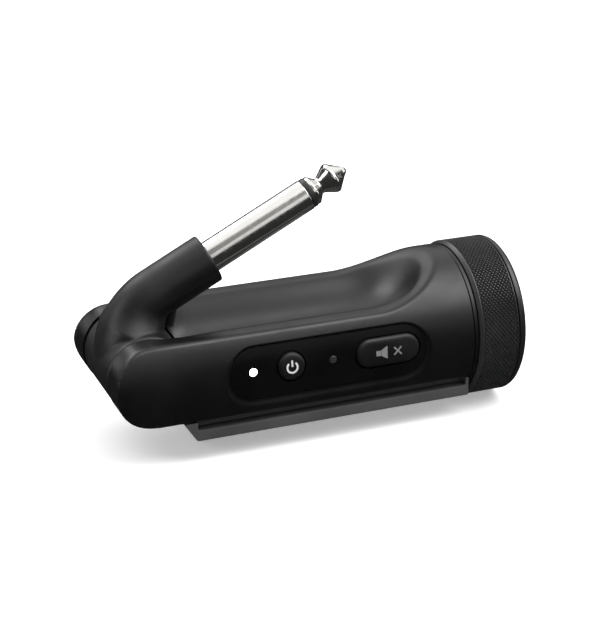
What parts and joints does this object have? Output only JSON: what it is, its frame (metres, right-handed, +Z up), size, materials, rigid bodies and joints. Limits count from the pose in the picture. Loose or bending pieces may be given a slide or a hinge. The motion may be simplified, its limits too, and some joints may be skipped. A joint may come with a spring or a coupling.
{
  "type": "wireless guitar transmitter",
  "caption": "Wireless guitar transmitter: a tube-shaped body with a folding jack plug, a control side with two buttons, a knurled grip and a docking rail.",
  "frame": {"origin": "middle of the docking rail's flat foot, which is the base that the part stands on", "axes": "+X along the body towards the knurled grip, -Y is the side with the buttons, +Z up out of the trough"},
  "size_m": [0.0857, 0.0324, 0.0526],
  "materials": {
    "housing_plastic": "satin",
    "panel_plastic": "satin",
    "button_plastic": "matte",
    "light_pipe": "clear",
    "arm_plastic": "matte",
    "plug_nickel": "polished",
    "plug_insulation": "satin",
    "pin_steel": "turned",
    "washer_nylon": "matte",
    "rail_plastic": "satin",
    "grip_plastic": "knurled",
    "battery_wrap": "wrapped",
    "foam": "foam",
    "circuit_board": "solder mask",
    "shield_tin": "tinned",
    "switch_plastic": "matte",
    "led": "clear"
  },
  "bodies": {
    "housing": {"body_shell": "housing_plastic", "dock_rail": "rail_plastic", "neck_ring": "housing_plastic", "grip_ring": "grip_plastic", "end_cap": "housing_plastic", "control_panel": "panel_plastic", "status_light_pipe": "light_pipe", "mute_light_pipe": "light_pipe", "hinge_pin": "pin_steel", "friction_washer_near": "washer_nylon", "friction_washer_far": "washer_nylon", "rail_screw_front": "pin_steel", "rail_screw_rear": "pin_steel", "antenna_board": "circuit_board", "battery_pad": "foam", "battery": "battery_wrap", "main_board": "circuit_board", "radio_shield": "shield_tin", "control_board": "circuit_board", "power_switch": "switch_plastic", "mute_switch": "switch_plastic", "status_led": "led", "mute_led": "led"},
    "plug_assembly": {"plug_arm": "arm_plastic", "plug_sleeve": "plug_nickel", "plug_inner_tube": "plug_insulation", "plug_insulator": "plug_insulation", "plug_tip": "plug_nickel"},
    "power_key": {"power_button": "button_plastic"},
    "mute_key": {"mute_button": "button_plastic"}
  },
  "joints": [
    {"name": "plug_hinge", "type": "hinge", "parent": "housing", "child": "plug_assembly", "pos_m": [-0.038, 0, 0.0174], "axis": [0, -1, 0], "range_deg": [-27, 115]},
    {"name": "power_press", "type": "slide", "parent": "housing", "child": "power_key", "axis": [0, 1, 0], "range_m": [0, 0.0004], "stiffness_N_per_m": 2000},
    {"name": "mute_press", "type": "slide", "parent": "housing", "child": "mute_key", "axis": [0, 1, 0], "range_m": [0, 0.0004], "stiffness_N_per_m": 2000}
  ]
}
